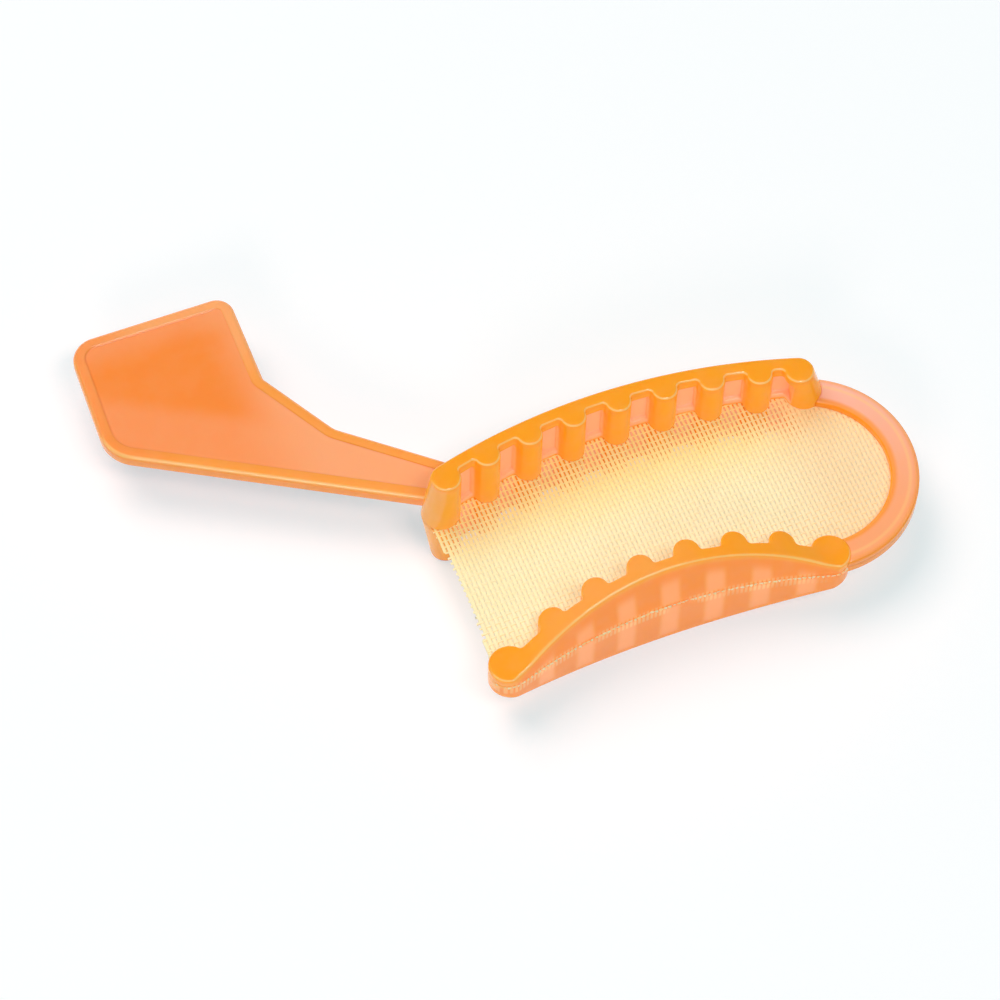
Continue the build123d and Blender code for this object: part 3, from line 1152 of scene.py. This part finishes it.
@dataclass
class Studio:
    """The pale floor, the soft lights and the camera.

    Attributes:
        target: The point that the camera and the lamps look at.
        azimuth: The camera's direction round that point.
        elevation: The camera's height over the floor, as an angle.
        roll: How far the camera is turned about its view.
        distance: From the camera to the point.
        lens: The camera's focal length in mm.
        floor_size: The floor's length and width in metres.
        floor_pale: The floor's colour for the light that it throws back.
        floor_shown: The floor's colour for the camera, under the lamps.
        floor_lift: What is added to that, which makes it white beyond the shadow.
        floor_drop: How far the floor is under the tray, in mm.
        sky_light: The world's strength.
        lamps: The soft lamps.
    """

    target: Vector = field(default_factory=lambda: Vector((-16.678, -3.630, 7.9)) * MM)
    azimuth: float = math.radians(-22.6806)
    elevation: float = math.radians(59.6638)
    roll: float = math.radians(1.5475)
    distance: float = 506.676 * MM
    lens: float = 150.084
    floor_size: float = 4.0
    floor_pale: Colour = (0.8, 0.8, 0.8, 1.0)
    floor_shown: Colour = (0.90, 0.57, 0.50, 1.0)
    floor_lift: Colour = (0.15, 0.48, 0.55, 1.0)
    floor_drop: float = 0.02
    sky_light: float = 0.2
    lamps: tuple[Softbox, ...] = (
        Softbox("key", (-0.26, 0.5, 1.1), (0.62, 0.62), 5.3, shines=False),
        Softbox("overhead", (0.1, -0.45, 0.88), (0.34, 0.2), 2.6),
        Softbox("side", (-0.49, -0.71, 0.5), (0.3, 0.2), 1.4),
    )

    def axes(self) -> tuple[Vector, Vector, Vector]:
        """Works out how the camera is turned.

        Returns:
            The camera's right, up and backward directions.
        """
        level = math.cos(self.elevation)
        back = Vector(
            (
                math.sin(self.azimuth) * level,
                -math.cos(self.azimuth) * level,
                math.sin(self.elevation),
            )
        )
        right = Vector((math.cos(self.azimuth), math.sin(self.azimuth), 0))
        turn = Matrix.Rotation(self.roll, 3, back)
        return turn @ right, turn @ back.cross(right), back

    def camera(self) -> None:
        """Adds the camera and makes it the scene's."""
        right, up, back = self.axes()
        data = bpy.data.cameras.new("camera")
        data.lens = self.lens
        data.clip_end = 10
        camera = bpy.data.objects.new("camera", data)
        place = Matrix((right, up, back)).transposed().to_4x4()
        place.translation = self.target + back * self.distance
        camera.matrix_world = place
        bpy.context.scene.collection.objects.link(camera)
        bpy.context.scene.camera = camera

    def floor(self) -> None:
        """Adds the floor, which is white to the camera apart from the tray's shadow."""
        half = self.floor_size / 2
        mesh = bpy.data.meshes.new("floor")
        corners = [(-half, -half, 0), (half, -half, 0), (half, half, 0), (-half, half, 0)]
        mesh.from_pydata(corners, [], [(0, 1, 2, 3)])
        floor = bpy.data.objects.new("floor", mesh)
        floor.location.z = -self.floor_drop * MM
        bpy.context.scene.collection.objects.link(floor)
        shader = Shader("floor")
        path = shader.add("LightPath").outputs
        shown = shader.math("MAXIMUM", path["Is Camera Ray"], path["Is Glossy Ray"])
        shown = shown.math("MAXIMUM", path["Is Transmission Ray"])
        colour = shader.mix(shown, self.floor_pale, self.floor_shown)
        diffuse = shader.add("BsdfDiffuse", {"Color": colour})
        glow = shader.add("Emission", {"Color": self.floor_lift, "Strength": shown})
        both = shader.add("AddShader", {0: diffuse.outputs[0], 1: glow.outputs[0]})
        mesh.materials.append(shader.finish(both))

    def sky(self) -> None:
        """Sets an even pale world."""
        world = bpy.data.worlds.new("studio")
        world.use_nodes = True
        background = world.node_tree.nodes["Background"]
        background.inputs["Color"].default_value = (1, 1, 1, 1)
        background.inputs["Strength"].default_value = self.sky_light
        bpy.context.scene.world = world

    def build(self) -> None:
        """Builds the whole studio."""
        self.camera()
        self.floor()
        self.sky()
        for lamp in self.lamps:
            lamp.build(self.target)
        bpy.context.scene.view_settings.view_transform = "Standard"


def main() -> None:
    """Builds the studio, dresses the frame and weaves the gauze."""
    logging.basicConfig(level=logging.INFO)
    Studio().build()
    TrayFrame().dress()
    gauze = BiteGauze().build()
    LOG.info("%s is woven, with %d faces", gauze.name, len(gauze.data.polygons))


if __name__ == "__main__":
    main()
